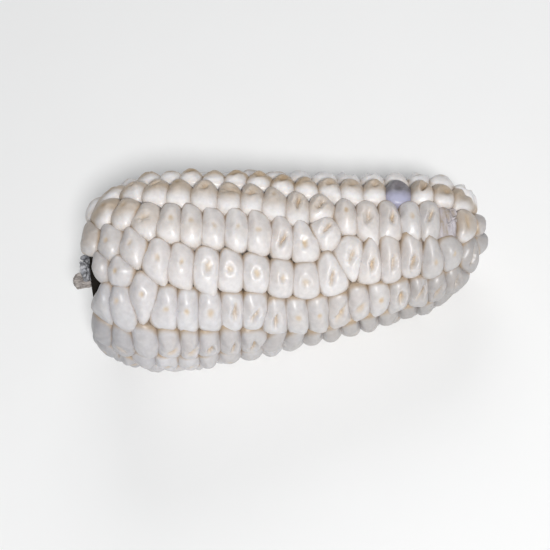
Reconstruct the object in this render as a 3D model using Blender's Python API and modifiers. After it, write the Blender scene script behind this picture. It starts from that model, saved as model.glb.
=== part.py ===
"""A dry, husked ear of white large-kernelled corn, lying on its side on a surface.

The ear is laid out along its own axis, +X from the butt to the tip, in millimetres. Round the axis an
angle of 0 is +Z and angles grow toward +Y. Every kernel stands on the cob at its own place, and its
sides are the planes halfway to its neighbours, so that the kernels fill the ear as they do in life.
At the end each mesh is bowed, scaled to metres and laid down by the empty that holds the parts.
"""

import math

import bmesh
import bpy
import numpy as np
from mathutils import Matrix, Vector

METRES = 0.001

# The ear's outline, in millimetres: a round butt, a slightly bulging flank and a blunt tip.
MOUTH_RADIUS = 10.0
BELLY_RADIUS = 32.3
SHOULDER_RADIUS = 23.2
BELLY_X = 33.0
SHOULDER_X = 103.0
TIP_X = 129.6
BUTT_ROUNDNESS = 2.3
FLANK_BULGE = 0.7
SLOPE_STEP = 0.2

# The tip bends gently toward +Y from this place on.
BOW_START_X = 88.0
BOW_LENGTH = 41.0
BOW_RISE = 4.2

# Kernels.
KERNEL_DEPTH = 12.0
CROWN_CHAMFER = 2.2
ROW_GAP = 0.15
ROW_JOIN = 0.3
SMALLEST_EDGE = 0.05
LEAST_CUT = 0.001
END_STRETCH = 1.34
CELL_REACH = 9.5
TIP_REACH = 1.2
REACH_PER_GIRTH = 0.4
NEIGHBOUR_REACH = 30.0
SOCKET_DROP = 6.5

# Cob, shank and the scar of the husk.
COB_START_X = 5.0
COB_END_X = 118.0
COB_SIDES = 28
COB_RINGS = 15
SHANK_RADIUS = 2.7
SHANK_END_X = -2.8
SHANK_CHAMFER = 0.9
SHANK_SIDES = 14
HUSK_RADIUS = 7.0
HUSK_THICKNESS = 1.6
HUSK_SIDES = 18
FIT_GAP = 0.3

# How the ear lies: rolled about its axis and tipped until its flank rests on the surface. The kernels
# underneath are a little flatter than the rest. The axis leaves the butt this high over the surface.
LYING_ROLL = 35.0
LYING_PITCH = 7.4
AXIS_HEIGHT = 34.9
FLAT_BLEND = 0.8
EAR_MIDDLE_X = 63.2

# A row's course is its angle in degrees at these places along the ear.
STATIONS = (5, 15, 25, 40, 55, 70, 80, 90, 105, 125)

# The rows from +Y round by the front to -Y: the course, the middles of the first and the last kernel,
# how many kernels there are, and how much wider than even the spacing starts and narrower it ends.
FRONT_ROWS = (
    ((118, 96, 84, 77, 73, 61, 59, 58, 55, 44), 4, 122, 18, 0.0),
    ((95, 71, 60, 53, 49, 38.5, 30, 26, 21.5, 9), 5.5, 128, 19, 0.12),
    ((56, 47, 31, 24, 19, 9.5, 4, -10, -14, -38), 11.5, 128, 19, 0.04),
    ((28, 22, 9, 1, -6, -16, -15), 5.5, 77.5, 11, 0.0),
    ((10, 3, -20, -26.5, -32, -41.5, -43.5, -39.5, -43.5, -52), 8, 116, 18, 0.06),
    ((-12, -21, -50, -55, -60, -79, -81, -78, -78, -86), 8, 113, 18, 0.04),
    ((-48, -54, -71, -77, -84, -105, -108, -105, -104, -114), 5.5, 117, 18, 0.0),
)
# The middles stray from that spacing by up to this much, each row in its own way.
STRAY = 0.5
STRAY_SEED = 40
# Kernels pushed out of their row's course, as (row, kernel counted from the butt): degrees.
NUDGES = {
    (2, 11): 3, (2, 16): 2, (3, 11): 13, (3, 5): 0.6, (3, 17): 11, (3, 18): 7, (4, 1): 3.5,
    (4, 2): -1.5, (4, 3): 2, (5, 9): -3.5, (5, 10): -1, (6, 2): 4, (6, 3): -12, (6, 9): -4,
    (6, 10): -2, (7, 3): -10,
}
# The violet kernel and the missing one, as (row, kernel counted from the butt).
VIOLET = (1, 15)
MISSING = (2, 17)

# The rows behind share the turn between the last front row and the first one.
BACK_ROWS = 7
BACK_SEED = 7
SHORT_BACK_ROW = 3
SHORT_ROW_END = 80.0
BACK_ROW_END = 127.0
BACK_ROW_START = (2.0, 3.2)
BACK_PITCH = (6.6, 7.9)
BACK_WOBBLE = 1.5
MERGE_START_X = 50.0
MERGE_LENGTH = 40.0

# Empty places round the mouth of the butt, where the shank leaves no room for kernels. Two more, at
# these places and angles, leave a dark gap and a gap full of husk beside the shank.
MOUTH_PLACES = 8
MOUTH_X = 0.4
MOUTH_NOTCHES = ((4.6, -2.0), (3.4, 13.0))

IVORY = (0.66, 0.62, 0.58)
VIOLET_BLUE = (0.27, 0.26, 0.34)
COB_TAN = (0.42, 0.34, 0.25)
SHANK_GREY = (0.26, 0.23, 0.20)
HUSK_GREY = (0.20, 0.18, 0.16)
CHAFF = (0.48, 0.43, 0.40)


def crown_radius(x):
    """How far the kernels' crowns stand from the axis at x."""
    if x < BELLY_X:
        back = (BELLY_X - x) / BELLY_X
        swell = (1 - min(back, 1) ** BUTT_ROUNDNESS) ** (1 / BUTT_ROUNDNESS)
        return MOUTH_RADIUS + (BELLY_RADIUS - MOUTH_RADIUS) * swell
    if x < SHOULDER_X:
        along = (x - BELLY_X) / (SHOULDER_X - BELLY_X)
        taper = (SHOULDER_RADIUS - BELLY_RADIUS) * along
        return BELLY_RADIUS + taper + FLANK_BULGE * 4 * along * (1 - along)
    ahead = min((x - SHOULDER_X) / (TIP_X - SHOULDER_X), 1)
    return SHOULDER_RADIUS * math.sqrt(1 - ahead * ahead)


def crown_slope(x, step=SLOPE_STEP):
    """How fast the outline's radius changes with x."""
    return (crown_radius(x + step) - crown_radius(x - step)) / (2 * step)


def row_angle(course, x):
    """A front row's angle in degrees at x."""
    return float(np.interp(x, STATIONS[:len(course)], course))


def merged(x):
    """0 where all the rows run, 1 where the short rows have ended, smooth between."""
    t = min(max((x - MERGE_START_X) / MERGE_LENGTH, 0), 1)
    return t * t * (3 - 2 * t)


def back_share(row, x):
    """A back row's share of the turn from the last front row to the first one."""
    share = row / (BACK_ROWS + 1)
    if row == SHORT_BACK_ROW:
        return share
    rank = row - (row > SHORT_BACK_ROW)
    return share + (rank / BACK_ROWS - share) * merged(x)


def row_middles(row):
    """The middles of a front row's kernels along the ear, from the butt to the tip."""
    first, last, count, crowding = FRONT_ROWS[row - 1][1:]
    share = np.linspace(0, 1, count)
    stray = np.random.default_rng(STRAY_SEED + row).uniform(-STRAY, STRAY, count)
    middles = first + (last - first) * (share + crowding * share * (1 - share)) + stray
    return [float(x) for x in middles]


def place_of(kernel_number):
    """The (row, x) of a kernel that is given as (row, kernel counted from the butt)."""
    row, number = kernel_number
    return row, row_middles(row)[number - 1]


def places():
    """Every place on the ear as (row, x, angle): kernels, the empty one, and row 0 round the mouth."""
    found = []
    for row, (course, *_) in enumerate(FRONT_ROWS, 1):
        for number, x in enumerate(row_middles(row), 1):
            found.append((row, x, row_angle(course, x) + NUDGES.get((row, number), 0)))
    first, last = FRONT_ROWS[0][0], FRONT_ROWS[-1][0]
    chance = np.random.default_rng(BACK_SEED)
    for row in range(1, BACK_ROWS + 1):
        x = BACK_ROW_START[0] + BACK_ROW_START[1] * (row % 2) + chance.uniform(0, 1)
        end = SHORT_ROW_END if row == SHORT_BACK_ROW else BACK_ROW_END
        while x < end:
            start = row_angle(last, x)
            turn = row_angle(first, x) - 360 - start
            wobble = chance.uniform(-BACK_WOBBLE, BACK_WOBBLE)
            found.append((len(FRONT_ROWS) + row, x, start + turn * back_share(row, x) + wobble))
            x += chance.uniform(*BACK_PITCH)
    for step in range(MOUTH_PLACES):
        found.append((0, MOUTH_X, 360 * step / MOUTH_PLACES))
    for x, angle in MOUTH_NOTCHES:
        found.append((0, x, angle))
    return found


def downward():
    """The direction in the ear that faces the surface it lies on."""
    pitch, roll = math.radians(LYING_PITCH), math.radians(LYING_ROLL)
    return Vector((math.sin(pitch), -math.cos(pitch) * math.sin(roll), -math.cos(pitch) * math.cos(roll)))


def run_name(row, x):
    """The name of the unbroken run of kernels that a place belongs to."""
    violet, missing = place_of(VIOLET), place_of(MISSING)
    if (row, x) == violet:
        return "violet_kernel"
    if (row, x) == missing:
        return "empty_socket"
    past = any(row == stop_row and x > stop_x for stop_row, stop_x in (violet, missing))
    return f"kernel_row_{row:02d}" + ("_tip" if past else "")


def frame_at(x, angle):
    """The crown's middle and the axes there: along the ear, round it and outward."""
    turn = math.radians(angle)
    from_axis = Vector((0, math.sin(turn), math.cos(turn)))
    outward = (from_axis - Vector((crown_slope(x), 0, 0))).normalized()
    radius = crown_radius(x)
    down = downward()
    if from_axis.dot(down) > 0:
        floor_radius = (AXIS_HEIGHT - down.x * x) / from_axis.dot(down)
        flatness = min(max((radius - floor_radius) / FLAT_BLEND, 0), 1)
        outward = outward.lerp(down, flatness).normalized()
        radius = min(radius, floor_radius)
    round_axis = outward.cross(Vector((1, 0, 0))).normalized()
    return Vector((x, 0, 0)) + from_axis * radius, round_axis.cross(outward), round_axis, outward


def cob_outline():
    """The cob's side as (x, radius) points."""
    steps = np.linspace(COB_START_X, COB_END_X, COB_RINGS)
    return [(x, crown_radius(x) - KERNEL_DEPTH) for x in steps]


def cob_support(outward):
    """How far the cob reaches along a direction."""
    across = math.hypot(outward.y, outward.z)
    return max(x * outward.x + radius * across for x, radius in cob_outline())


def cut(bm, point, normal):
    """Takes away what lies beyond a plane, closes the cut and says whether it cut anything."""
    if all((v.co - point).dot(normal) < LEAST_CUT for v in bm.verts):
        return False
    geometry = bm.verts[:] + bm.edges[:] + bm.faces[:]
    done = bmesh.ops.bisect_plane(
        bm, geom=geometry, plane_co=point, plane_no=normal, clear_outer=True)
    edges = [e for e in done["geom_cut"] if isinstance(e, bmesh.types.BMEdge)]
    bmesh.ops.edgeloop_fill(bm, edges=edges)
    return True


def kernel(index, spots, frames, drop=0.0):
    """One kernel's mesh: a block under its crown, cut by the plane halfway to each neighbour."""
    run = run_name(*spots[index][:2])
    middle, along, round_axis, outward = frames[index]
    height = middle.dot(outward) - cob_support(outward) - FIT_GAP - drop
    reach = min(TIP_REACH + REACH_PER_GIRTH * crown_radius(middle.x), CELL_REACH)
    sides = []
    bm = bmesh.new()
    bmesh.ops.create_cube(bm, size=1.0)
    bmesh.ops.scale(bm, vec=(2 * reach, 2 * reach, height), verts=bm.verts)
    axes = Matrix((along, round_axis, outward)).transposed().to_4x4()
    centre = middle - outward * (drop + height / 2)
    bmesh.ops.transform(bm, matrix=Matrix.Translation(centre) @ axes, verts=bm.verts)
    for other, (neighbour, *_) in enumerate(frames):
        apart = neighbour - middle
        if other == index or apart.length > NEIGHBOUR_REACH:
            continue
        normal = Vector((apart.x * END_STRETCH ** 2, apart.y, apart.z)).normalized()
        together = run_name(*spots[other][:2]) == run
        shift = ROW_JOIN if together else -ROW_GAP
        point = middle + apart / 2 + normal * shift
        if cut(bm, point, normal):
            sides.append((normal, point.dot(normal)))
    if not drop:
        for normal, distance in sides:
            chamfer(bm, normal, distance, outward, middle.dot(outward))
        cut(bm, downward() * AXIS_HEIGHT, downward())
    bmesh.ops.remove_doubles(bm, verts=bm.verts, dist=SMALLEST_EDGE)
    bmesh.ops.recalc_face_normals(bm, faces=bm.faces)
    return bm


def chamfer(bm, side, distance, outward, top):
    """Cuts the corner between a side, at its distance, and the crown, at its top."""
    slope = side + outward
    corner = (distance + top) / slope.length
    slope.normalize()
    cut(bm, slope * (corner - CROWN_CHAMFER / math.sqrt(2)), slope)


def bow(point):
    """Bends the ear's tip toward +Y and turns millimetres into metres."""
    along = max(point.x - BOW_START_X, 0) / BOW_LENGTH
    return Vector((point.x, point.y + BOW_RISE * along * along, point.z)) * METRES


def finished(bm, name):
    """Turns a bmesh in ear millimetres into an object in metres."""
    for vert in bm.verts:
        vert.co = bow(vert.co)
    mesh = bpy.data.meshes.new(name)
    bm.to_mesh(mesh)
    bm.free()
    return bpy.data.objects.new(name, mesh)


def joined(name, kernels):
    """One body from a row's kernels, by a Boolean union."""
    whole, rest = kernels[0], kernels[1:]
    whole.name = name
    whole.data.name = name
    if not rest:
        return whole
    others = bpy.data.collections.new(name + "_rest")
    bpy.context.scene.collection.children.link(others)
    bpy.context.scene.collection.objects.link(whole)
    for part in rest:
        others.objects.link(part)
    union = whole.modifiers.new("union", "BOOLEAN")
    union.operation = "UNION"
    union.operand_type = "COLLECTION"
    union.collection = others
    union.solver = "EXACT"
    bpy.context.view_layer.update()
    mesh = bpy.data.meshes.new_from_object(whole.evaluated_get(bpy.context.evaluated_depsgraph_get()))
    whole.modifiers.clear()
    whole.data = mesh
    bm = bmesh.new()
    bm.from_mesh(mesh)
    bmesh.ops.remove_doubles(bm, verts=bm.verts, dist=SMALLEST_EDGE * METRES)
    bm.to_mesh(mesh)
    bm.free()
    for part in rest:
        bpy.data.objects.remove(part)
    bpy.data.collections.remove(others)
    bpy.context.scene.collection.objects.unlink(whole)
    return whole


def turned(name, outline, sides, ring=False):
    """A solid of revolution about the ear's axis, from (x, radius) points: a ring's outline is a loop."""
    mesh = bpy.data.meshes.new(name)
    edges = [(i, i + 1) for i in range(len(outline) - 1)]
    if ring:
        edges.append((len(outline) - 1, 0))
    mesh.from_pydata([(radius, 0, x) for x, radius in reversed(outline)], edges, [])
    obj = bpy.data.objects.new(name, mesh)
    bpy.context.scene.collection.objects.link(obj)
    screw = obj.modifiers.new("turn", "SCREW")
    screw.steps = sides
    screw.render_steps = sides
    screw.use_merge_vertices = True
    screw.merge_threshold = 0.0001
    bpy.context.view_layer.update()
    body = bpy.data.meshes.new_from_object(obj.evaluated_get(bpy.context.evaluated_depsgraph_get()))
    bpy.data.objects.remove(obj)
    bm = bmesh.new()
    bm.from_mesh(body)
    bmesh.ops.rotate(bm, matrix=Matrix.Rotation(math.radians(90), 3, "Y"), verts=bm.verts)
    bmesh.ops.recalc_face_normals(bm, faces=bm.faces)
    return finished(bm, name)


def material(name, colour, roughness):
    """A plain Principled finish."""
    made = bpy.data.materials.new(name)
    made.use_nodes = True
    shader = made.node_tree.nodes["Principled BSDF"]
    shader.inputs["Base Color"].default_value = (*colour, 1)
    shader.inputs["Roughness"].default_value = roughness
    shader.inputs["Metallic"].default_value = 0.0
    return made


def place_part(obj, finish, parts, lying):
    """Puts a finished part in the ear's collection, under the empty that lays it down."""
    obj.data.materials.clear()
    obj.data.materials.append(finish)
    obj.parent = lying
    parts.objects.link(obj)


def lying_empty(parts):
    """The empty that rolls and tips the ear onto the surface."""
    empty = bpy.data.objects.new("lying", None)
    roll = Matrix.Rotation(math.radians(LYING_ROLL), 4, "X")
    pitch = Matrix.Rotation(math.radians(LYING_PITCH), 4, "Y")
    shift = Matrix.Translation(Vector((-EAR_MIDDLE_X, 0, AXIS_HEIGHT)) * METRES)
    empty.matrix_world = shift @ pitch @ roll
    parts.objects.link(empty)
    return empty


def build_rows(parts, lying):
    """The kernels, one body for each unbroken row, and the empty socket."""
    ivory = material("kernel_ivory", IVORY, 0.35)
    violet = material("kernel_violet", VIOLET_BLUE, 0.35)
    chaff = material("glume_chaff", CHAFF, 0.8)
    spots = places()
    frames = [frame_at(x, angle) for _, x, angle in spots]
    runs = {}
    for index, (row, x, _) in enumerate(spots):
        if row == 0:
            continue
        name = run_name(row, x)
        drop = SOCKET_DROP if name == "empty_socket" else 0.0
        runs.setdefault(name, []).append(finished(kernel(index, spots, frames, drop), name))
    finishes = {"violet_kernel": violet, "empty_socket": chaff}
    for name, kernels in runs.items():
        place_part(joined(name, kernels), finishes.get(name, ivory), parts, lying)


def build_core(parts, lying):
    """The cob, the broken shank and the scar of the husk round it."""
    outline = cob_outline()
    cob = turned("cob", [(COB_START_X, 0), *outline, (COB_END_X, 0)], COB_SIDES)
    place_part(cob, material("cob_tan", COB_TAN, 0.85), parts, lying)
    root = COB_START_X - FIT_GAP
    end = [(SHANK_END_X, 0), (SHANK_END_X, SHANK_RADIUS - SHANK_CHAMFER)]
    side = [(SHANK_END_X + SHANK_CHAMFER, SHANK_RADIUS), (root, SHANK_RADIUS), (root, 0)]
    shank = turned("shank_stub", end + side, SHANK_SIDES)
    place_part(shank, material("shank_grey", SHANK_GREY, 0.9), parts, lying)
    inner = SHANK_RADIUS + FIT_GAP
    front = root - HUSK_THICKNESS
    ring = [(front, inner), (front, HUSK_RADIUS), (root, HUSK_RADIUS), (root, inner)]
    scar = turned("husk_scar", ring, HUSK_SIDES, ring=True)
    place_part(scar, material("husk_grey", HUSK_GREY, 0.9), parts, lying)


def main():
    for obj in list(bpy.data.objects):
        bpy.data.objects.remove(obj)
    parts = bpy.data.collections.new("corn_cob")
    bpy.context.scene.collection.children.link(parts)
    lying = lying_empty(parts)
    build_rows(parts, lying)
    build_core(parts, lying)


main()
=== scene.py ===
import math

import bpy
import numpy as np
from mathutils import Matrix, Quaternion, Vector


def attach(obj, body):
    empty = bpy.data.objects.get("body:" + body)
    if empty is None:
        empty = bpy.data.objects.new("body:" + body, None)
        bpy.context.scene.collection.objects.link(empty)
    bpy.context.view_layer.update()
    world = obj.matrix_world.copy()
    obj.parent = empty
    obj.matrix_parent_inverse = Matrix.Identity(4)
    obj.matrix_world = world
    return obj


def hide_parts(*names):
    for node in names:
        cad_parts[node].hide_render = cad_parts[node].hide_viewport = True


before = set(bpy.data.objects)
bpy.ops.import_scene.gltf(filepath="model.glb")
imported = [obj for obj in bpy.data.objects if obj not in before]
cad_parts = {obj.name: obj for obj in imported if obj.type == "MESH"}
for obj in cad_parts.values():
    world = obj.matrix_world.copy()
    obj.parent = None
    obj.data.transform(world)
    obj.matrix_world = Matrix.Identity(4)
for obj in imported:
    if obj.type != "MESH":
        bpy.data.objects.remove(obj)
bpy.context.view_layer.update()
print("frame loaded:", len(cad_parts), "nodes")
millimetre = 0.001
tiny = 0.00001  # keeps divisions and the lowest vertices off zero

ear = {  # the ear's outline in millimetres: +X from butt to tip, an angle of 0 at +Z, growing toward +Y
    "mouthRadius": 10.0, "bellyRadius": 32.3, "shoulderRadius": 23.2,
    "bellyX": 33.0, "shoulderX": 103.0, "tipX": 129.6,
    "buttRoundness": 2.3, "flankBulge": 0.7,
    "bowStart": 88.0, "bowLength": 41.0, "bowRise": 4.2,
    "middleX": 63.2, "axisHeight": 34.9, "roll": 35.0, "pitch": 7.4, "settling": 0.8,
}
lying = {"Roll": ear["roll"], "Pitch": ear["pitch"], "Bow rise": ear["bowRise"]}

# A row's course is its angle at each station. Then come the middles of its first and last kernel, how much
# wider than even its spacing starts, and its kernels' crowns from the butt on.
stations = (5, 15, 25, 40, 55, 70, 80, 90, 105, 125)
frontRows = (
    ((118, 96, 84, 77, 73, 61, 59, 58, 55, 44), (4.0, 122.0, 0.0),
     "plain dent dent sliver dent dent plain dent dent dent ridge dent dent dent dent slit dent dent"),
    ((95, 71, 60, 53, 49, 38.5, 30, 26, 21.5, 9), (5.5, 128.0, 0.12),
     "plain dent dent crease dot dent wrinkle dent dot slit "
     "slant dot slit slit dot slant gone glassy dent"),
    ((56, 47, 31, 24, 19, 9.5, 4, -10, -14, -38), (11.5, 128.0, 0.04),
     "dot dot crease dot dot dot dot dot slit crater slant slant slit slit slit dot dot slit plain"),
    ((28, 22, 9, 1, -6, -16, -15), (5.5, 77.5, 0.0),
     "plain dot dot dot dot crater crater crater crater crater slant"),
    ((10, 3, -20, -26.5, -32, -41.5, -43.5, -39.5, -43.5, -52), (8.0, 116.0, 0.06),
     "plain dot dot dot dot crater slit slit slit dot dot slit dent dot slit slit slit slit"),
    ((-12, -21, -50, -55, -60, -79, -81, -78, -78, -86), (8.0, 113.0, 0.04),
     "plain dot plain dent dent slit slit slit plain plain dent plain dent dent dent dent slit plain"),
    ((-48, -54, -71, -77, -84, -105, -108, -105, -104, -114), (5.5, 117.0, 0.0),
     "plain wrinkle plain dent dent plain dot dent dot plain dent dent dot plain dent slit dent plain"),
)
strayed = {"most": 0.5, "seed": 40}  # the middles stray from that spacing, each row in its own way
nudges = {  # kernels pushed out of their course, in degrees, as row and kernel counted from the butt
    (2, 11): 3, (2, 16): 2, (3, 11): 13, (3, 5): 0.6, (3, 17): 11, (3, 18): 7, (4, 1): 3.5, (4, 2): -1.5,
    (4, 3): 2, (5, 9): -3.5, (5, 10): -1, (6, 2): 4, (6, 3): -12, (6, 9): -4, (6, 10): -2, (7, 3): -10,
}


def rowMiddles(row):  # the middles of a front row's kernels, from the butt to the tip
    _, (first, last, crowding), crownNames = frontRows[row - 1]
    share = np.linspace(0, 1, len(crownNames.split()))
    chance = np.random.default_rng(strayed["seed"] + row)
    stray = chance.uniform(-strayed["most"], strayed["most"], len(share))
    middles = first + (last - first) * (share + crowding * share * (1 - share)) + stray
    return [float(x) for x in middles]


def placeOf(row, number):  # the row and the place along the ear of its kernel with this number
    return row, rowMiddles(row)[number - 1]


# Kernels set deeper than their neighbours, in millimetres.
sunk = {placeOf(2, 17): 1.5, placeOf(6, 18): 0.9, placeOf(7, 18): 0.9, placeOf(5, 18): 0.5}
violetPlace = placeOf(1, 15)
emptyPlace = placeOf(2, 17)

backRows = {
    "count": 7, "shortRow": 3, "shortEnd": 80.0, "end": 127.0, "start": (2.0, 3.2), "pitch": (6.6, 7.9),
    "wobble": 1.5, "mergeStart": 50.0, "mergeLength": 40.0, "seed": 7,
    "crowns": ("dot", "dent", "slit", "dent", "plain", "crater", "dot", "slit"),
}
mouth = {  # places round the butt and beside the shank that hold no kernel
    "places": 8, "x": 0.4, "notches": ((4.6, -2.0), (3.4, 13.0)),
}


def crownRadius(x):
    if x < ear["bellyX"]:
        back = min((ear["bellyX"] - x) / ear["bellyX"], 1)
        swell = (1 - back ** ear["buttRoundness"]) ** (1 / ear["buttRoundness"])
        return ear["mouthRadius"] + (ear["bellyRadius"] - ear["mouthRadius"]) * swell
    if x < ear["shoulderX"]:
        along = (x - ear["bellyX"]) / (ear["shoulderX"] - ear["bellyX"])
        taper = (ear["shoulderRadius"] - ear["bellyRadius"]) * along
        return ear["bellyRadius"] + taper + ear["flankBulge"] * 4 * along * (1 - along)
    ahead = min((x - ear["shoulderX"]) / (ear["tipX"] - ear["shoulderX"]), 1)
    return ear["shoulderRadius"] * math.sqrt(1 - ahead * ahead)


def crownSlope(x, step=0.2):
    return (crownRadius(x + step) - crownRadius(x - step)) / (2 * step)


def rowAngle(course, x):
    return float(np.interp(x, stations[:len(course)], course))


def backShare(row, x):  # a back row's share of the turn from the last front row to the first
    share = row / (backRows["count"] + 1)
    if row == backRows["shortRow"]:
        return share
    t = min(max((x - backRows["mergeStart"]) / backRows["mergeLength"], 0), 1)
    rank = row - (row > backRows["shortRow"])
    return share + (rank / backRows["count"] - share) * t * t * (3 - 2 * t)


def kernelPlaces():  # every place as (row, x, angle, crown)
    found = []
    for row, (course, _, crownNames) in enumerate(frontRows, 1):
        for number, (x, crown) in enumerate(zip(rowMiddles(row), crownNames.split()), 1):
            found.append((row, x, rowAngle(course, x) + nudges.get((row, number), 0), crown))
    chance = np.random.default_rng(backRows["seed"])
    first, last = frontRows[0][0], frontRows[-1][0]
    for row in range(1, backRows["count"] + 1):
        x = backRows["start"][0] + backRows["start"][1] * (row % 2) + chance.uniform(0, 1)
        end = backRows["shortEnd"] if row == backRows["shortRow"] else backRows["end"]
        while x < end:
            start = rowAngle(last, x)
            turn = rowAngle(first, x) - 360 - start
            wobble = chance.uniform(-backRows["wobble"], backRows["wobble"])
            crown = backRows["crowns"][(len(found) * 5 + row) % len(backRows["crowns"])]
            found.append((len(frontRows) + row, x, start + turn * backShare(row, x) + wobble, crown))
            x += chance.uniform(*backRows["pitch"])
    for step in range(mouth["places"]):
        found.append((0, mouth["x"], 360 * step / mouth["places"], "gone"))
    for x, angle in mouth["notches"]:
        found.append((0, x, angle, "gone"))
    return found


def downInEar():
    pitch, roll = math.radians(ear["pitch"]), math.radians(ear["roll"])
    return Vector((math.sin(pitch), -math.cos(pitch) * math.sin(roll), -math.cos(pitch) * math.cos(roll)))


def kernelFrame(x, angle):  # the crown's middle and the axes there: along the ear, round it, outward
    turn = math.radians(angle)
    fromAxis = Vector((0, math.sin(turn), math.cos(turn)))
    outward = (fromAxis - Vector((crownSlope(x), 0, 0))).normalized()
    radius, down = crownRadius(x), downInEar()
    if fromAxis.dot(down) > 0:
        floorRadius = (ear["axisHeight"] - down.x * x) / fromAxis.dot(down)
        flatness = min(max((radius - floorRadius) / ear["settling"], 0), 1)
        outward = outward.lerp(down, flatness).normalized()
        radius = min(radius, floorRadius)
    roundAxis = outward.cross(Vector((1, 0, 0))).normalized()
    return Vector((x, 0, 0)) + fromAxis * radius, roundAxis.cross(outward), roundAxis, outward


def runName(row, x):  # the unbroken run of kernels that a place belongs to
    if (row, x) == violetPlace:
        return "violet_kernel"
    if (row, x) == emptyPlace:
        return "empty_socket"
    past = any(row == r and x > stop for r, stop in (violetPlace, emptyPlace))
    return f"kernel_row_{row:02d}" + ("_tip" if past else "")


def addNode(tree, kind, inputs=None, **settings):  # a node with its inputs set or linked
    made = tree.nodes.new(kind)
    for name, value in settings.items():
        setattr(made, name, value)
    for key, value in (inputs or {}).items():
        feed(tree, made.inputs[key], value)
    return made


def feed(tree, socket, value):
    if isinstance(value, bpy.types.NodeSocket):
        tree.links.new(value, socket)
    else:
        socket.default_value = value


def calc(tree, operation, *values):
    made = tree.nodes.new("ShaderNodeMath")
    made.operation = operation
    for socket, value in zip(made.inputs, values):
        feed(tree, socket, value)
    return made.outputs[0]


def vectorCalc(tree, operation, *values, scale=None):
    made = tree.nodes.new("ShaderNodeVectorMath")
    made.operation = operation
    for socket, value in zip(made.inputs, values):
        feed(tree, socket, value)
    if scale is not None:
        feed(tree, made.inputs["Scale"], scale)
    return made.outputs["Value" if operation in ("DOT_PRODUCT", "LENGTH") else "Vector"]


def times(tree, first, *others):
    for other in others:
        first = calc(tree, "MULTIPLY", first, other)
    return first


def plus(tree, first, *others):
    for other in others:
        first = calc(tree, "ADD", first, other)
    return first


def split(tree, vector):
    return addNode(tree, "ShaderNodeSeparateXYZ", {0: vector}).outputs


def combine(tree, x=0.0, y=0.0, z=0.0):
    return addNode(tree, "ShaderNodeCombineXYZ", {0: x, 1: y, 2: z}).outputs[0]


def position(tree):
    return tree.nodes.new("GeometryNodeInputPosition").outputs[0]


def noise(tree, where, scale, detail, **more):
    values = {"Vector": where, "Scale": scale, "Detail": detail, **more}
    return addNode(tree, "ShaderNodeTexNoise", values).outputs


def remap(tree, value, low, high, toLow=0.0, toHigh=1.0, smooth=True):
    made = tree.nodes.new("ShaderNodeMapRange")
    made.interpolation_type = "SMOOTHSTEP" if smooth else "LINEAR"
    ends = {"Value": value, "From Min": low, "From Max": high, "To Min": toLow, "To Max": toHigh}
    for key, each in ends.items():
        feed(tree, made.inputs[key], each)
    return made.outputs[0]


def readNamed(tree, name, kind="FLOAT"):
    return addNode(tree, "GeometryNodeInputNamedAttribute", {"Name": name}, data_type=kind).outputs[0]


def readVector(tree, name):
    return readNamed(tree, name, "FLOAT_VECTOR")


def storeNamed(tree, geometry, name, value, kind="FLOAT"):
    inputs = {"Geometry": geometry, "Name": name, "Value": value}
    made = addNode(tree, "GeometryNodeStoreNamedAttribute", inputs, data_type=kind, domain="POINT")
    return made.outputs[0]


def moved(tree, geometry, **change):  # the geometry with its Position set or an Offset added
    return addNode(tree, "GeometryNodeSetPosition", {"Geometry": geometry, **change}).outputs[0]


def newTree(name, sizes):  # a tree with an input for each size, and one for the finish
    tree = bpy.data.node_groups.new(name, "GeometryNodeTree")
    tree.interface.new_socket("Geometry", in_out="INPUT", socket_type="NodeSocketGeometry")
    for label, size in sizes.items():
        kind = "NodeSocketInt" if isinstance(size, int) else "NodeSocketFloat"
        tree.interface.new_socket(label, in_out="INPUT", socket_type=kind).default_value = size
    tree.interface.new_socket("Finish", in_out="INPUT", socket_type="NodeSocketMaterial")
    tree.interface.new_socket("Geometry", in_out="OUTPUT", socket_type="NodeSocketGeometry")
    return tree, tree.nodes.new("NodeGroupInput").outputs


def runTree(tree, source, name, values):  # a plain mesh object from a tree run on a source mesh
    holder = bpy.data.objects.new(name + "_source", source)
    bpy.context.scene.collection.objects.link(holder)
    modifier = holder.modifiers.new("nodes", "NODES")
    modifier.node_group = tree
    for item in tree.interface.items_tree:
        if item.item_type == "SOCKET" and item.in_out == "INPUT" and item.name in values:
            modifier[item.identifier] = values[item.name]
    bpy.context.view_layer.update()
    graph = bpy.context.evaluated_depsgraph_get()
    mesh = bpy.data.meshes.new_from_object(holder.evaluated_get(graph))
    mesh.name = name
    holder.modifiers.clear()
    bpy.data.objects.remove(holder)
    made = bpy.data.objects.new(name, mesh)
    bpy.context.scene.collection.objects.link(made)
    return made


def layDown(tree, geometry, given):  # from the ear's millimetres to metres, bowed and laid on the floor
    bent = calc(tree, "SUBTRACT", split(tree, position(tree))[0], ear["bowStart"])
    ahead = calc(tree, "DIVIDE", calc(tree, "MAXIMUM", bent, 0.0), ear["bowLength"])
    rise = times(tree, ahead, ahead, given["Bow rise"])
    bowed = moved(tree, geometry, Offset=combine(tree, y=rise))
    turn = combine(tree, calc(tree, "RADIANS", given["Roll"]), calc(tree, "RADIANS", given["Pitch"]))
    lift = combine(tree, -ear["middleX"] * millimetre, 0.0, ear["axisHeight"] * millimetre)
    laid = addNode(tree, "GeometryNodeTransform", {
        "Geometry": bowed, "Translation": lift, "Rotation": turn, "Scale": (millimetre,) * 3}).outputs[0]
    x, y, z = split(tree, position(tree))
    return moved(tree, laid, Position=combine(tree, x, y, calc(tree, "MAXIMUM", z, tiny)))


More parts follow.
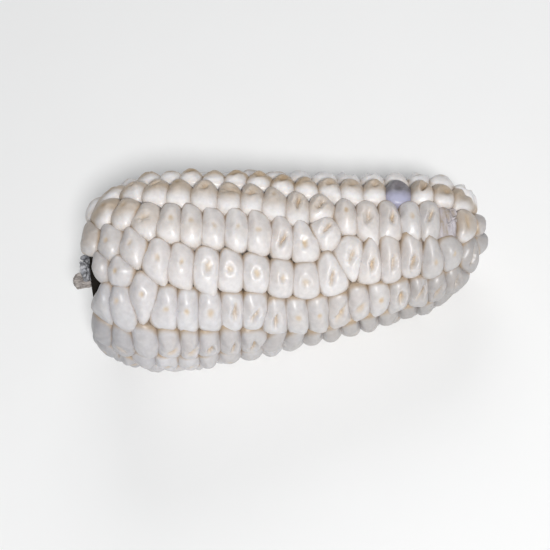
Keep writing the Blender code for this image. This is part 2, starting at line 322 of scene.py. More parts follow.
def finishTree(tree, shaped, given):  # lays the shape down, shades it smooth and gives it its material
    laid = layDown(tree, shaped, given)
    smooth = addNode(tree, "GeometryNodeSetShadeSmooth", {"Geometry": laid}).outputs[0]
    whole = addNode(tree, "GeometryNodeRealizeInstances", {"Geometry": smooth}).outputs[0]
    coated = {"Geometry": whole, "Material": given["Finish"]}
    finished = addNode(tree, "GeometryNodeSetMaterial", coated).outputs[0]
    tree.links.new(finished, tree.nodes.new("NodeGroupOutput").inputs[0])
    return tree


# Each kernel is a closed blank that is pressed against its neighbours.
kernelShape = {
    "Segments": 48, "Rings": 30, "Shoulder height": 1.9, "Shoulder roundness": 2.3, "Dome": 1.9,
    "Crown corners": 2.6, "Edge corners": 6.0, "Root depth": 5.0, "Gap": -0.55, "Corner drop": 1.3,
    "Lumps": 0.35, "Warp": 1.6, **lying,
}
blank = {"crownEnd": 0.74, "sideEnd": 0.96, "leastRoom": 0.2}  # shares of the way to the root
relief = {  # how the dish and its surroundings wander, in millimetres and per millimetre
    "wander": 1.2, "wanderScale": 0.5, "lumpScale": 0.25, "lumpBase": 0.35, "rippleTurn": 4.2,
    "rippleDepth": 0.16, "warpScale": 0.11, "cornerFall": 4.0,
}
packing = {  # how many neighbours press on a kernel, and how far it reaches where none does
    "presses": 8, "within": 26.0, "alongWeight": 1.8, "reach": 1.2, "reachPerRadius": 0.4, "most": 9.5,
}
# A crown's dish as half length, half width and depth, its groove as the same, its tan spot, wrinkles and
# angle, its place along and round, and how far that place strays.
crowns = {
    "plain": (1.8, 1.6, 0.06, 0.5, 0.5, 0.0, 0.0, 0.0, 0, 0.0, 0.0, 0.3),
    "sliver": (2.0, 1.0, 0.30, 0.5, 0.5, 0.0, 0.1, 0.0, 90, 0.0, 0.5, 0.2),
    "dot": (2.1, 1.5, 0.28, 0.8, 0.7, 0.08, 0.9, 0.0, 75, 0.1, 0.4, 0.4),
    "dent": (3.0, 1.9, 1.15, 1.8, 0.9, 0.30, 0.8, 0.1, 50, 0.2, -0.2, 0.4),
    "crater": (2.8, 1.9, 0.90, 1.1, 0.8, 0.06, 0.9, 0.0, 80, 0.1, 0.3, 0.2),
    "slit": (3.7, 1.5, 1.7, 2.9, 0.5, 0.9, 0.8, 0.15, 70, 0.3, 0.0, 0.3),
    "slant": (3.7, 1.6, 1.6, 2.9, 0.5, 0.8, 0.8, 0.15, 58, 0.2, 0.2, 0.3),
    "ridge": (2.9, 1.7, 0.85, 2.0, 0.5, 0.35, 0.3, 0.5, 45, 0.2, 0.3, 0.3),
    "crease": (2.9, 2.1, 0.90, 2.2, 0.8, 0.40, 0.5, 0.5, 25, -0.2, 0.6, 0.2),
    "wrinkle": (3.3, 2.6, 0.90, 2.4, 0.7, 0.35, 0.5, 0.8, -35, 0.0, 0.0, 0.2),
    "gone": (3.2, 2.2, 0.90, 2.6, 0.5, 0.40, 0.6, 1.6, 78, 0.0, -0.3, 0.1),
    "glassy": (3.0, 1.7, 0.50, 2.6, 0.7, 0.20, 1.0, 0.0, 86, -0.6, 0.0, 0.1),
}

tanSide = {  # where the tan side of the ear is and how softly it ends; the tan is partly the kernels' own colour, partly painted shade
    "angle": 84.0, "edge": 0.46, "blend": 0.42,
}
paintedLightSide = {"x": 68.0, "from": 66.0, "to": 110.0}  # painted light: kernels on the tan side toward the tip made pale, with no tan or painted shade
paintedShadeSide = {  # where painted shade darkens the kernels, and by how much
    "angle": 5.0, "blend": 50.0, "x": 92.0, "length": 30.0, "under": 0.6, "tip": 1.1, "butt": 1.3,
    "buttLength": 24.0, "far": 0.45, "farX": 28.0, "farLength": 45.0, "farAngle": -38.0, "farBlend": 28.0,
    "most": 1.4,
}
coolSide = {"angle": 20.0, "blend": 50.0, "length": 80.0}


def ovalRing(tree, lengthwise, crosswise, size):  # 0 in the middle of an oval, 1 on its edge
    a, b = calc(tree, "DIVIDE", lengthwise, size[0]), calc(tree, "DIVIDE", crosswise, size[1])
    return calc(tree, "SQRT", plus(tree, times(tree, a, a), times(tree, b, b)))


def blankSection(tree, given):  # a blank vertex's direction, spread, depth, closing and corner sharpness
    ex, ey, ez = split(tree, readVector(tree, "blank"))
    reachOut = calc(tree, "SQRT", plus(tree, times(tree, ex, ex), times(tree, ey, ey)))
    safe = calc(tree, "MAXIMUM", reachOut, tiny)
    ex, ey = calc(tree, "DIVIDE", ex, safe), calc(tree, "DIVIDE", ey, safe)
    share = calc(tree, "DIVIDE", calc(tree, "ARCCOSINE", ez), math.pi)  # 0 at the crown, 1 at the root
    crownShare = remap(tree, share, 0.0, blank["crownEnd"], smooth=False)
    crownTurn = calc(tree, "MULTIPLY", crownShare, math.pi / 2)
    power = calc(tree, "DIVIDE", 2.0, given["Shoulder roundness"])
    spread = calc(tree, "POWER", calc(tree, "SINE", crownTurn), power)
    lift = calc(tree, "POWER", calc(tree, "MAXIMUM", calc(tree, "COSINE", crownTurn), 0.0), power)
    shoulder = times(tree, calc(tree, "SUBTRACT", 1.0, lift), given["Shoulder height"])
    crownDepth = calc(tree, "MULTIPLY_ADD", times(tree, spread, spread), given["Dome"], shoulder)
    side = remap(tree, share, blank["crownEnd"], blank["sideEnd"], smooth=False)
    depth = plus(tree, crownDepth, times(tree, side, given["Root depth"]))
    closing = remap(tree, share, blank["sideEnd"], 1.0, 1.0, 0.0, smooth=False)
    sharper = calc(tree, "SUBTRACT", given["Edge corners"], given["Crown corners"])
    corners = calc(tree, "MULTIPLY_ADD", calc(tree, "POWER", spread, 3.0), sharper, given["Crown corners"])
    return ex, ey, spread, depth, closing, corners


def pressedOutline(tree, given, ex, ey, depth, corners):  # how far out the kernel reaches that way
    total = None
    for index in range(packing["presses"]):
        press = split(tree, readVector(tree, f"press{index}"))
        across = plus(tree, times(tree, press[0], ex), times(tree, press[1], ey))
        room = plus(tree, times(tree, press[2], depth), 1.0)
        room = calc(tree, "MAXIMUM", room, blank["leastRoom"])
        pushed = calc(tree, "MAXIMUM", calc(tree, "DIVIDE", across, room), 0.0)
        pushed = calc(tree, "POWER", pushed, corners)
        total = pushed if total is None else plus(tree, total, pushed)
    away = calc(tree, "POWER", calc(tree, "DIVIDE", 1.0, readNamed(tree, "reach")), corners)
    outline = calc(tree, "POWER", plus(tree, total, away), calc(tree, "DIVIDE", -1.0, corners))
    return calc(tree, "SUBTRACT", outline, given["Gap"])


def crownRings(tree, px, py):  # the place across the dish, and how far it is over the dish and the groove
    dent = split(tree, readVector(tree, "dentPlace"))
    flat = vectorCalc(tree, "ADD", readVector(tree, "middle"), combine(tree, px, py))
    dx, dy = calc(tree, "SUBTRACT", px, dent[0]), calc(tree, "SUBTRACT", py, dent[1])
    wander = noise(tree, flat, relief["wanderScale"], 2.0)["Color"]
    push = split(tree, vectorCalc(tree, "SUBTRACT", wander, (0.5, 0.5, 0.5)))
    dx = calc(tree, "MULTIPLY_ADD", push[0], relief["wander"], dx)
    dy = calc(tree, "MULTIPLY_ADD", push[1], relief["wander"], dy)
    cosine, sine = calc(tree, "COSINE", dent[2]), calc(tree, "SINE", dent[2])
    lengthwise = plus(tree, times(tree, dx, cosine), times(tree, dy, sine))
    crosswise = calc(tree, "SUBTRACT", times(tree, dy, cosine), times(tree, dx, sine))
    dish, groove = split(tree, readVector(tree, "dish")), split(tree, readVector(tree, "groove"))
    dishRing = ovalRing(tree, lengthwise, crosswise, dish)
    grooveRing = ovalRing(tree, lengthwise, crosswise, groove)
    return crosswise, dishRing, grooveRing, dish[2], groove[2]


def crownDrop(tree, given, px, py, ex, ey, spread, depth):  # the depth of its relief and the tan spot
    crosswise, dishRing, grooveRing, dishDepth, grooveDepth = crownRings(tree, px, py)
    bowl = times(tree, remap(tree, dishRing, 0.1, 1.2, 1.0, 0.0), dishDepth)
    groove = times(tree, remap(tree, grooveRing, 0.1, 1.0, 1.0, 0.0), grooveDepth)
    ripple = calc(tree, "SINE", times(tree, crosswise, relief["rippleTurn"]))
    ripple = times(tree, ripple, remap(tree, dishRing, 0.4, 1.3, 1.0, 0.0))
    ridges = times(tree, ripple, times(tree, readNamed(tree, "wrinkles"), relief["rippleDepth"]))
    solid = vectorCalc(tree, "ADD", readVector(tree, "middle"), combine(tree, px, py, depth))
    lumps = noise(tree, solid, relief["lumpScale"], 2.0)[0]
    lump = times(tree, calc(tree, "SUBTRACT", lumps, relief["lumpBase"]), given["Lumps"])
    upper = times(tree, calc(tree, "MAXIMUM", ey, 0.0), calc(tree, "ABSOLUTE", ex))
    upper = times(tree, upper, upper, calc(tree, "POWER", spread, 3.0))
    fallen = times(tree, upper, relief["cornerFall"], given["Corner drop"])
    drop = plus(tree, plus(tree, depth, bowl), plus(tree, groove, plus(tree, ridges, lump)), fallen)
    spotRing = calc(tree, "SQRT", times(tree, grooveRing, dishRing))
    dot = times(tree, remap(tree, spotRing, 0.1, 1.15, 1.0, 0.0), readNamed(tree, "spot"))
    return drop, dot


def kernelTree(shape):
    tree, given = newTree("kernelRow", shape)
    ball = {"Segments": given["Segments"], "Rings": given["Rings"], "Radius": 1.0}
    sphere = addNode(tree, "GeometryNodeMeshUVSphere", ball).outputs[0]
    marked = storeNamed(tree, sphere, "blank", position(tree), "FLOAT_VECTOR")
    standing = {"Points": given["Geometry"], "Instance": marked}
    onPoints = addNode(tree, "GeometryNodeInstanceOnPoints", standing).outputs[0]
    real = addNode(tree, "GeometryNodeRealizeInstances", {"Geometry": onPoints}).outputs[0]
    ex, ey, spread, depth, closing, corners = blankSection(tree, given)
    outline = pressedOutline(tree, given, ex, ey, depth, corners)
    out = times(tree, outline, spread, closing)
    px, py = times(tree, out, ex), times(tree, out, ey)
    drop, dot = crownDrop(tree, given, px, py, ex, ey, spread, depth)
    spot = readVector(tree, "middle")
    spot = vectorCalc(tree, "ADD", spot, vectorCalc(tree, "SCALE", readVector(tree, "along"), scale=px))
    spot = vectorCalc(tree, "ADD", spot, vectorCalc(tree, "SCALE", readVector(tree, "around"), scale=py))
    inward = vectorCalc(tree, "SCALE", readVector(tree, "outward"), scale=drop)
    spot = vectorCalc(tree, "SUBTRACT", spot, inward)
    bend = noise(tree, spot, relief["warpScale"], 1.0)["Color"]
    bend = vectorCalc(tree, "SUBTRACT", bend, (0.5, 0.5, 0.5))
    spot = vectorCalc(tree, "ADD", spot, vectorCalc(tree, "SCALE", bend, scale=given["Warp"]))
    shaped = moved(tree, real, Position=spot)
    # the seam mask deepens toward the crevice: the kernels' tan sides plus painted shade
    shaped = storeNamed(tree, shaped, "seam", remap(tree, depth, 1.9, 3.0))
    shaped = storeNamed(tree, shaped, "dot", dot)
    shaped = storeNamed(tree, shaped, "lift", calc(tree, "DIVIDE", py, outline))
    return finishTree(tree, shaped, given)


def pressesOn(index, frames):  # the planes halfway to the nearest kernels, in the kernel's own axes
    middle, along, around, outward = frames[index]
    found = []
    for other, (neighbour, *_) in enumerate(frames):
        apart = neighbour - middle
        if other == index or apart.length > packing["within"]:
            continue
        normal = Vector((apart.x * packing["alongWeight"], apart.y, apart.z))
        pressed = normal / (normal.dot(apart) / 2)
        found.append((math.hypot(pressed.dot(along), pressed.dot(around)),
                      (pressed.dot(along), pressed.dot(around), pressed.dot(outward))))
    found.sort(reverse=True)
    return [press for _, press in found[:packing["presses"]]]


def pointMesh(name, rows):  # one vertex for each dictionary of attributes
    mesh = bpy.data.meshes.new(name)
    mesh.from_pydata([row["middle"] for row in rows], [], [])
    for key, value in rows[0].items():
        vector = hasattr(value, "__len__")
        layer = mesh.attributes.new(key, "FLOAT_VECTOR" if vector else "FLOAT", "POINT")
        flat = np.array([row[key] for row in rows], np.float32).ravel()
        layer.data.foreach_set("vector" if vector else "value", flat)
    return mesh


def tanShare(angle):  # the kernels are tanner toward one side of the ear: partly their own colour, partly painted shade
    toward = math.cos(math.radians(angle - tanSide["angle"]))
    return min(max((toward - tanSide["edge"]) / tanSide["blend"], 0), 1)


def paintedShadeShare(x, angle):  # painted shade: kernels darker toward the underside, the tip and the butt
    under = min(max((-angle - paintedShadeSide["angle"]) / paintedShadeSide["blend"], 0), 1)
    ahead = min(max((x - paintedShadeSide["x"]) / paintedShadeSide["length"], 0), 1)
    behind = min(max(1 - x / paintedShadeSide["buttLength"], 0), 1)
    far = min(max((x - paintedShadeSide["farX"]) / paintedShadeSide["farLength"], 0), 1)
    far *= min(max((paintedShadeSide["farAngle"] - angle) / paintedShadeSide["farBlend"], 0), 1)
    dull = under * paintedShadeSide["under"] + far * paintedShadeSide["far"] + ahead * paintedShadeSide["tip"]
    return min(dull + behind * paintedShadeSide["butt"], paintedShadeSide["most"])


def coolShare(x, angle):  # bluer kernels low on the butt half
    low = min(max((coolSide["angle"] - angle) / coolSide["blend"], 0), 1)
    return low * min(max(1 - x / coolSide["length"], 0), 1)


def kernelAttributes(index, places, frames, chance):
    row, x, angle, crown = places[index]
    middle, along, around, outward = frames[index]
    length, width, depth, cutLength, cutWidth, cutDepth = crowns[crown][:6]
    spot, wrinkles, turn, placeX, placeY, stray = crowns[crown][6:]
    # painted light: these kernels are made pale
    paintedLightPale = 1.0 * (x > paintedLightSide["x"] and paintedLightSide["from"] < angle % 360 < paintedLightSide["to"])
    size, rise = chance.uniform(0.88, 1.1), chance.uniform(-0.25, 0.1) - sunk.get((row, x), 0)
    reach = packing["reach"] + packing["reachPerRadius"] * crownRadius(x)
    values = {
        "middle": tuple(middle + outward * rise), "along": tuple(along), "around": tuple(around),
        "outward": tuple(outward), "reach": min(reach, packing["most"]),
        "dentPlace": (placeX + chance.uniform(-stray, stray), placeY + chance.uniform(-stray, stray),
                      math.radians(turn + chance.uniform(-15, 15))),
        "dish": (length * size, width * size, depth * chance.uniform(0.8, 1.2)),
        "groove": (cutLength * size, cutWidth * size, cutDepth * chance.uniform(0.8, 1.2)),
        "spot": spot * chance.uniform(0.7, 1.2), "wrinkles": wrinkles, "tone": chance.uniform(0, 1) + paintedLightPale,
        "tan": max(tanShare(angle) * (1 - paintedLightPale), 0.6 * (crown == "glassy")),
        "dull": paintedShadeShare(x, angle) * (1 - paintedLightPale), "cool": coolShare(x, angle),
    }
    presses = pressesOn(index, frames)
    for number in range(packing["presses"]):
        values[f"press{number}"] = presses[number] if number < len(presses) else (0.0, 0.0, 0.0)
    return values


def newMaterial(name, **constants):
    made = bpy.data.materials.new(name)
    made.use_nodes = True
    shader = made.node_tree.nodes["Principled BSDF"]
    for key, value in constants.items():
        shader.inputs[key.replace("_", " ")].default_value = value
    return made, made.node_tree, shader


def attribute(tree, name):
    return addNode(tree, "ShaderNodeAttribute", attribute_name=name).outputs["Fac"]


def mixColour(tree, factor, first, second, blend="MIX"):
    made = addNode(tree, "ShaderNodeMix", data_type="RGBA", blend_type=blend)
    feed(tree, made.inputs[0], factor)
    feed(tree, made.inputs[6], first)
    feed(tree, made.inputs[7], second)
    return made.outputs[2]


def newGroup(name, takes, gives):  # a shader group with its named inputs and outputs
    group = bpy.data.node_groups.new(name, "ShaderNodeTree")
    for label, kind in takes:
        group.interface.new_socket(label, in_out="INPUT", socket_type=kind)
    for label, kind in gives:
        group.interface.new_socket(label, in_out="OUTPUT", socket_type=kind)
    return group, group.nodes.new("NodeGroupInput").outputs, group.nodes.new("NodeGroupOutput").inputs


def kernelSkin():  # the mottled colour with painted light and shade, the gloss and the fine grain of a kernel
    tints = ("Face", "Pale", "Tan", "Seam", "Dot", "Shaded tan dot", "Painted shade top", "Painted lit bottom")
    group, given, result = newGroup("kernelSkin", [(tint, "NodeSocketColor") for tint in tints],
                                    [("Colour", "NodeSocketColor"), ("Roughness", "NodeSocketFloat"),
                                     ("Normal", "NodeSocketVector")])
    where = addNode(group, "ShaderNodeTexCoord").outputs["Object"]
    cloud = noise(group, where, 260.0, 4.0)[0]
    wide = noise(group, where, 90.0, 2.0)[0]
    fine = noise(group, where, 650.0, 4.0)[0]
    # painted light: the lower part of each kernel leans to the pale tint, added to the cloud mottle
    paintedLitLower = remap(group, attribute(group, "lift"), -0.9, 0.2, 1.0, 0.0)
    mottleAndPaintedLight = calc(group, "MULTIPLY_ADD", cloud, 0.3, times(group, paintedLitLower, 0.35))
    tone = calc(group, "MULTIPLY_ADD", attribute(group, "tone"), 0.5, mottleAndPaintedLight)
    colour = mixColour(group, tone, given["Face"], given["Pale"])
    # painted shade: the colour darkened by the painted shade share
    dull = calc(group, "MULTIPLY_ADD", attribute(group, "dull"), -0.3, 1.0)
    colour = vectorCalc(group, "SCALE", colour, scale=dull)
    colour = mixColour(group, attribute(group, "cool"), colour, (0.95, 0.98, 1.035, 1), "MULTIPLY")
    # tan on the upper part of each kernel: partly its own colour, partly painted shade
    upper = remap(group, attribute(group, "lift"), -0.95, -0.2)
    tan = times(group, attribute(group, "tan"), upper, remap(group, wide, 0.3, 0.7, 0.65, 1.0))
    tanner = calc(group, "MULTIPLY_ADD", remap(group, wide, 0.5, 0.8), 0.15, tan)
    colour = mixColour(group, tanner, colour, given["Tan"])
    # painted light: the lower ends of tan kernels turned near white
    paintedLitBottom = remap(group, attribute(group, "lift"), -0.9, -0.35, 0.8, 0.0)
    paintedLitBottom = times(group, paintedLitBottom, attribute(group, "tan"))
    colour = mixColour(group, paintedLitBottom, colour, given["Painted lit bottom"])
    blotch = remap(group, fine, 0.35, 0.65, 0.93, 1.04, smooth=False)
    colour = vectorCalc(group, "SCALE", colour, scale=blotch)
    # seam colour: the kernels' own tan sides plus painted shade in the crevices, kept weaker on each kernel's lower
    # side as painted light
    seam = calc(group, "MULTIPLY", attribute(group, "seam"), remap(group, cloud, 0.3, 0.7, 0.7, 1.0))
    seam = calc(group, "MULTIPLY", seam, remap(group, attribute(group, "lift"), -0.9, -0.4, 0.3, 1.0))
    colour = mixColour(group, seam, colour, given["Seam"])
    # the tan spot, darker on tan kernels as their own colour and painted shade
    spot = calc(group, "MULTIPLY", attribute(group, "dot"), remap(group, cloud, 0.3, 0.6, 0.6, 1.0))
    colour = mixColour(group, spot, colour, mixColour(group, tan, given["Dot"], given["Shaded tan dot"]))
    # painted shade: a dark slate line along the upper edges of tan kernels
    edge = calc(group, "MULTIPLY", remap(group, attribute(group, "lift"), 0.1, 0.6), attribute(group, "seam"))
    edge = calc(group, "MULTIPLY", edge, remap(group, attribute(group, "tan"), 0.0, 0.5))
    feed(group, result["Colour"], mixColour(group, edge, colour, given["Painted shade top"]))
    feed(group, result["Roughness"], remap(group, cloud, 0.3, 0.7, 0.40, 0.54))
    height = calc(group, "MULTIPLY_ADD", wide, 2.0, fine)
    bump = addNode(group, "ShaderNodeBump", {"Strength": 0.3, "Distance": 0.0004, "Height": height}).outputs[0]
    feed(group, result["Normal"], bump)
    return group


def kernelMaterial(name, skin, tints):
    made, tree, shader = newMaterial(name, Roughness=0.36, Subsurface_Weight=0.3, Subsurface_Scale=0.001,
                                     Subsurface_Radius=(1.0, 0.8, 0.6), Coat_Weight=0.25, Coat_Roughness=0.28)
    coat = addNode(tree, "ShaderNodeGroup", node_tree=skin)
    for tint, colour in tints.items():
        coat.inputs[tint].default_value = colour
    feed(tree, shader.inputs["Base Color"], coat.outputs["Colour"])
    feed(tree, shader.inputs["Roughness"], coat.outputs["Roughness"])
    feed(tree, shader.inputs["Normal"], coat.outputs["Normal"])
    return made


skin = kernelSkin()
kernelIvory = kernelMaterial("kernelIvory", skin, {
    "Face": (0.665, 0.622, 0.60, 1), "Pale": (0.75, 0.73, 0.725, 1), "Tan": (0.46, 0.345, 0.225, 1),
    "Seam": (0.40, 0.30, 0.20, 1), "Dot": (0.58, 0.45, 0.30, 1),
    "Shaded tan dot": (0.33, 0.23, 0.14, 1), "Painted shade top": (0.13, 0.13, 0.15, 1), "Painted lit bottom": (0.88, 0.86, 0.86, 1)})
kernelViolet = kernelMaterial("kernelViolet", skin, {
    "Face": (0.30, 0.28, 0.31, 1), "Pale": (0.41, 0.41, 0.53, 1), "Tan": (0.18, 0.165, 0.175, 1),
    "Seam": (0.22, 0.21, 0.27, 1), "Dot": (0.27, 0.25, 0.28, 1), "Shaded tan dot": (0.14, 0.125, 0.13, 1),
    "Painted shade top": (0.05, 0.055, 0.075, 1), "Painted lit bottom": (0.46, 0.46, 0.60, 1)})


def fibreMask():  # light and dark streaks along the ear, and ragged specks
    takes = [("Scale", "NodeSocketFloat"), ("Stretch", "NodeSocketVector")]
    gives = [("Streaks", "NodeSocketFloat"), ("Specks", "NodeSocketFloat")]
    group, given, result = newGroup("fibreMask", takes, gives)
    where = addNode(group, "ShaderNodeTexCoord").outputs["Object"]
    long = vectorCalc(group, "MULTIPLY", where, given["Stretch"])
    streaks = noise(group, long, given["Scale"], 5.0)[0]
    specks = noise(group, where, given["Scale"], 6.0, Roughness=0.7)[0]
    feed(group, result["Streaks"], remap(group, streaks, 0.35, 0.65))
    feed(group, result["Specks"], remap(group, specks, 0.42, 0.62))
    return group


def fibreMaterial(name, fibres, scale, light, dark, speck, translucence=0.0, stretch=(0.2, 1.0, 1.0)):
    made, tree, shader = newMaterial(name, Roughness=0.85, Subsurface_Weight=translucence,
                                     Subsurface_Scale=0.001, Subsurface_Radius=(1.0, 0.9, 0.8))
    mask = addNode(tree, "ShaderNodeGroup", node_tree=fibres)
    mask.inputs["Scale"].default_value = scale
    mask.inputs["Stretch"].default_value = stretch
    colour = mixColour(tree, mask.outputs["Streaks"], dark, light)
    colour = mixColour(tree, calc(tree, "MULTIPLY", mask.outputs["Specks"], 0.7), colour, speck)
    feed(tree, shader.inputs["Base Color"], colour)
    feed(tree, shader.inputs["Roughness"], remap(tree, mask.outputs["Specks"], 0.0, 1.0, 0.6, 0.95))
    bump = {"Strength": 0.4, "Distance": 0.0003, "Height": mask.outputs["Streaks"]}
    feed(tree, shader.inputs["Normal"], addNode(tree, "ShaderNodeBump", bump).outputs[0])
    return made


def brownButtAndPaintedShade(made, hollow):  # brown at the butt, and painted shade: black under the gap in the kernels
    tree = made.node_tree
    shader = tree.nodes["Principled BSDF"]
    shader.inputs["Specular IOR Level"].default_value = hollow["shine"]
    before = shader.inputs["Base Color"].links[0].from_socket
    where = addNode(tree, "ShaderNodeTexCoord").outputs["Object"]
    along = addNode(tree, "ShaderNodeSeparateXYZ", {0: where}).outputs[0]
    height = vectorCalc(tree, "DOT_PRODUCT", where, hollow["up"])
    shade = remap(tree, height, *hollow["heights"], hollow["brown"], hollow["black"])
    shade = calc(tree, "MAXIMUM", shade, remap(tree, along, *hollow["ends"]))
    feed(tree, shader.inputs["Base Color"], vectorCalc(tree, "SCALE", before, scale=shade))


fibres = fibreMask()
cobTan = fibreMaterial("cobTan", fibres, 700.0, (0.50, 0.41, 0.30, 1), (0.30, 0.22, 0.15, 1),
                       (0.55, 0.48, 0.40, 1))
# the cob's butt brown, with painted shade turning it black under the gap in the kernels
brownButtAndPaintedShade(cobTan, {"shine": 0.1, "up": (0.0, -0.57, 0.82), "heights": (0.0305, 0.0345),
                      "ends": (-0.053, -0.046), "brown": 0.36, "black": 0.03})
shankGrey = fibreMaterial("shankGrey", fibres, 1000.0, (0.42, 0.38, 0.35, 1), (0.13, 0.11, 0.10, 1),
                          (0.36, 0.33, 0.32, 1), stretch=(0.6, 1.0, 1.0))
huskGrey = fibreMaterial("huskGrey", fibres, 700.0, (0.34, 0.35, 0.38, 1), (0.08, 0.08, 0.09, 1),
                         (0.52, 0.52, 0.54, 1))
glumeChaff = fibreMaterial("glumeChaff", fibres, 600.0, (0.53, 0.50, 0.53, 1), (0.34, 0.28, 0.22, 1),
                           (0.44, 0.41, 0.43, 1), 0.3, (1.0, 0.25, 0.25))

# Each unbroken row of kernels is one piece.
places = kernelPlaces()
frames = [kernelFrame(x, angle) for _, x, angle, _ in places]
rowTree = kernelTree(kernelShape)
chance = np.random.default_rng(23)
runs = {}
for index, (row, x, angle, crown) in enumerate(places):
    if row:
        runs.setdefault(runName(row, x), []).append(kernelAttributes(index, places, frames, chance))
shrunken = runs.pop("empty_socket")
for node, rows in runs.items():
    pieceName = "".join(word.capitalize() if i else word for i, word in enumerate(node.split("_")))
    finish = kernelViolet if node == "violet_kernel" else kernelIvory
    points = pointMesh(pieceName + "Points", rows)
    piece = runTree(rowTree, points, pieceName, {**kernelShape, "Finish": finish})
    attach(piece, "root")
    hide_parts(node)
print("kernels:", sum(len(rows) for rows in runs.values()), "in", len(runs), "pieces")


def stubTree():  # the broken shank: a fibrous rod with two lobes and a torn end
    tree, given = newTree("shankStub", {**shankStub, **lying})
    sizes = {"Vertices": 96, "Side Segments": 40, "Fill Segments": 10, "Radius": 1.0, "Depth": 1.0}
    rod = addNode(tree, "GeometryNodeMeshCylinder", sizes, fill_type="TRIANGLE_FAN").outputs[0]
    across, upward, lengthwise = split(tree, position(tree))
    share = calc(tree, "ADD", lengthwise, 0.5)  # 0 at the torn end, 1 at the cob
    turn = calc(tree, "ARCTAN2", upward, across)
    rim = calc(tree, "SQRT", plus(tree, times(tree, across, across), times(tree, upward, upward)))
    rough = noise(tree, combine(tree, across, upward, times(tree, share, 0.6)), 2.2, 5.0)[0]
    lobes = calc(tree, "MULTIPLY", calc(tree, "COSINE", calc(tree, "MULTIPLY_ADD", turn, 2.0, 0.5)), given["Lobes"])
    wavy = calc(tree, "SINE", calc(tree, "MULTIPLY_ADD", rough, 9.0, times(tree, turn, 13.0)))
    ridges = times(tree, wavy, given["Ridges"])
    swell = calc(tree, "ADD", calc(tree, "MULTIPLY_ADD", rough, 1.5, 0.25), calc(tree, "ADD", lobes, ridges))
    blunt = calc(tree, "SQRT", remap(tree, share, 0.0, 0.14, 0.3, 1.0, smooth=False))
    size = calc(tree, "MULTIPLY", calc(tree, "MULTIPLY", given["Radius"], swell), blunt)
    end = remap(tree, share, 0.0, 0.35, 1.0, 0.0)
    ragged = calc(tree, "MULTIPLY", calc(tree, "MULTIPLY", rough, given["Torn"]), end)
    hollow = calc(tree, "MULTIPLY", calc(tree, "SUBTRACT", 1.0, rim), calc(tree, "MULTIPLY", end, 1.4))
    place = calc(tree, "ADD", calc(tree, "MULTIPLY_ADD", share, given["Length"], given["Start"]),
                 calc(tree, "ADD", ragged, hollow))
    spot = addNode(tree, "ShaderNodeCombineXYZ", {0: place, 1: calc(tree, "MULTIPLY", across, size),
                                                  2: calc(tree, "MULTIPLY", upward, size)}).outputs[0]
    shaped = addNode(tree, "GeometryNodeSetPosition", {"Geometry": rod, "Position": spot}).outputs[0]
    return finishTree(tree, shaped, given)


def flakeTree():  # papery scales or strands, one standing on each point
    tree, given = newTree("flakes", {**huskShape, **lying})
    ball = {"Segments": given["Segments"], "Rings": given["Rings"], "Radius": 0.5}
    sphere = addNode(tree, "GeometryNodeMeshUVSphere", ball).outputs[0]
    raised = {"Geometry": sphere, "Translation": (0, 0, 0.5)}
    raised = addNode(tree, "GeometryNodeTransform", raised).outputs[0]
    wide, thin, tall = split(tree, position(tree))
    narrowed = calc(tree, "MULTIPLY", wide, calc(tree, "SUBTRACT", 1.0, calc(tree, "MULTIPLY", tall, given["Point"])))
    bend = times(tree, plus(tree, times(tree, wide, wide), times(tree, tall, tall, 0.3)), given["Curl"])
    leaf = combine(tree, narrowed, calc(tree, "MULTIPLY_ADD", thin, given["Thickness"], bend), tall)
    bent = addNode(tree, "GeometryNodeSetPosition", {"Geometry": raised, "Position": leaf}).outputs[0]
    standing = addNode(tree, "GeometryNodeInstanceOnPoints", {
        "Points": given["Geometry"], "Instance": bent, "Rotation": readNamed(tree, "turned", "FLOAT_VECTOR"),
        "Scale": readNamed(tree, "sized", "FLOAT_VECTOR")}).outputs[0]
    real = addNode(tree, "GeometryNodeRealizeInstances", {"Geometry": standing}).outputs[0]
    here = tree.nodes.new("GeometryNodeInputPosition").outputs[0]
    drift = addNode(tree, "ShaderNodeTexNoise", {"Vector": here, "Scale": 0.7, "Detail": 3.0}).outputs["Color"]
    drift = vectorCalc(tree, "SCALE", vectorCalc(tree, "SUBTRACT", drift, (0.5, 0.5, 0.5)), scale=given["Ragged"])
    shaped = addNode(tree, "GeometryNodeSetPosition", {"Geometry": real, "Offset": drift}).outputs[0]
    return finishTree(tree, shaped, given)


def flakePoint(middle, direction, width, length, chance):  # one flake's root, turn and size
    turned = direction.to_track_quat("Z", "X") @ Quaternion((0, 0, 1), chance.uniform(0, math.tau))
    return {"middle": tuple(middle), "turned": tuple(turned.to_euler()), "sized": (width, width, length)}


shankStub = {"Radius": 1.8, "Length": 7.4, "Start": -3.0, "Lobes": 0.22, "Ridges": 0.07, "Torn": 2.0}
stubSource = bpy.data.meshes.new("shankStubSource")
piece = runTree(stubTree(), stubSource, "shankStub", {**shankStub, **lying, "Finish": shankGrey})
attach(piece, "root")
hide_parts("shank_stub")

